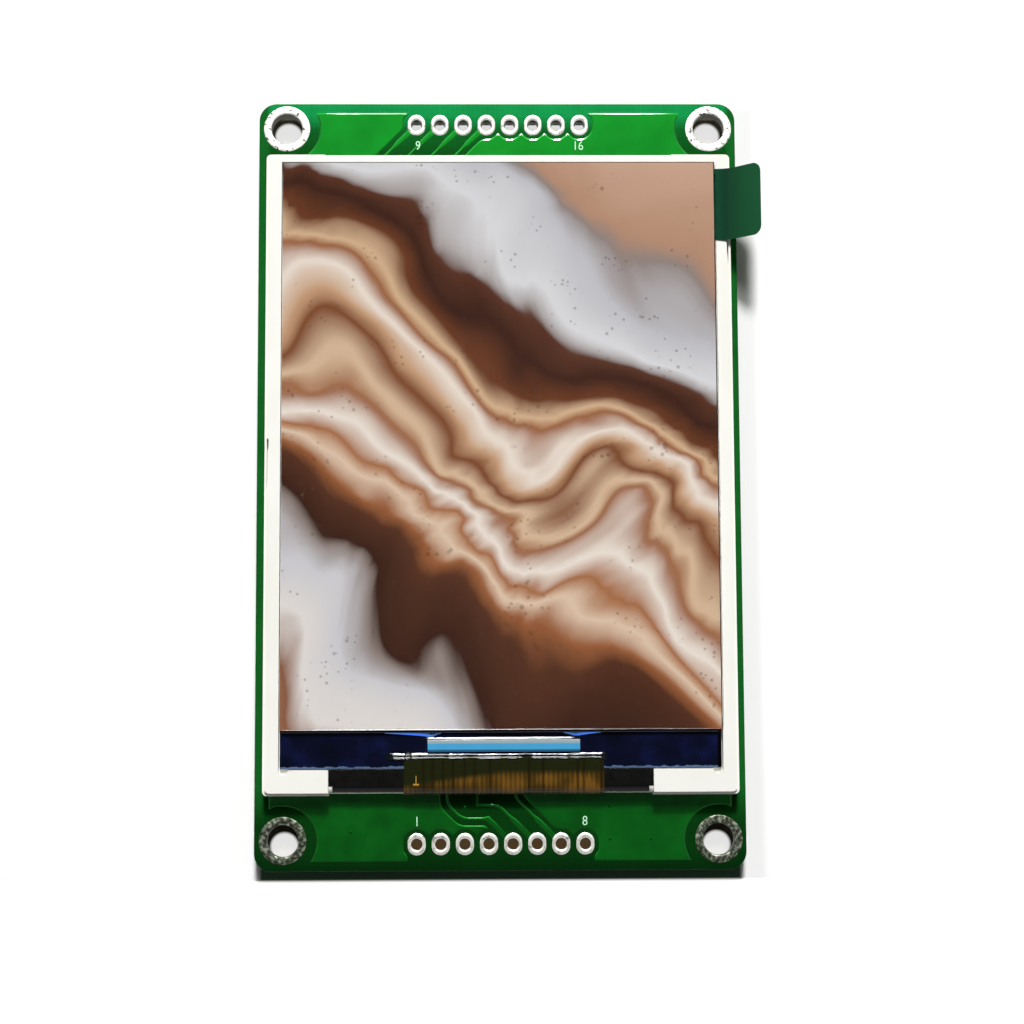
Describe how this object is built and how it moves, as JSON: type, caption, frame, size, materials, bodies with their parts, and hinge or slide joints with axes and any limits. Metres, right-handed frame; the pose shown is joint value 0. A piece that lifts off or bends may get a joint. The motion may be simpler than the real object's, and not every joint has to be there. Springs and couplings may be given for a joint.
{
  "type": "tft display module",
  "caption": "Small colour TFT display on a green carrier board, with plated pin holes, corner mounting holes, folded flex circuit and a protective film with pull tab.",
  "frame": {"origin": "middle of the four mounting holes, on the board's rear face", "axes": "+Z out of the display, +Y along the board towards pins 9 to 16, +X across the board to the right"},
  "size_m": [0.0539, 0.083, 0.0088],
  "materials": {
    "solder_mask_board": "satin",
    "tin_plating": "satin",
    "masked_copper": "satin",
    "foam_adhesive": "matte",
    "white_polycarbonate": "satin",
    "white_foil": "gloss",
    "clear_acrylic": "gloss",
    "frosted_film": "matte",
    "polyimide_flex": "satin",
    "led_housing": "satin",
    "led_phosphor": "gloss",
    "black_tape": "matte",
    "polariser_film": "gloss",
    "display_glass": "gloss",
    "clear_film": "gloss",
    "green_film": "gloss",
    "polished_silicon": "gloss",
    "clear_resin": "gloss",
    "solder": "satin",
    "capacitor_ceramic": "satin",
    "resistor_body": "satin",
    "black_epoxy": "matte"
  },
  "bodies": {
    "root": {"circuit_board": "solder_mask_board", "mounting_hole_rings": "tin_plating", "pin_pads_lower": "tin_plating", "pin_pads_upper": "tin_plating", "front_copper": "masked_copper", "rear_copper": "masked_copper", "foam_tape": "foam_adhesive", "backlight_frame": "white_polycarbonate", "reflector_sheet": "white_foil", "light_guide_plate": "clear_acrylic", "diffuser_sheet": "frosted_film", "prism_sheet_lower": "frosted_film", "prism_sheet_upper": "frosted_film", "led_strip": "polyimide_flex", "backlight_leds": "led_housing", "led_lenses": "led_phosphor", "rim_tape": "black_tape", "lower_polariser": "polariser_film", "tft_glass": "display_glass", "colour_filter_glass": "display_glass", "upper_polariser": "polariser_film", "protective_film": "clear_film", "pull_tab": "green_film", "driver_chip": "polished_silicon", "ledge_seal": "clear_resin", "flex_circuit": "polyimide_flex", "flex_solder_joints": "solder", "shade_tape": "black_tape", "capacitor_bodies": "capacitor_ceramic", "resistor_bodies": "resistor_body", "chip_terminals": "tin_plating", "regulator_body": "black_epoxy", "regulator_leads": "tin_plating", "transistor_body": "black_epoxy", "transistor_leads": "tin_plating"}
  },
  "joints": []
}
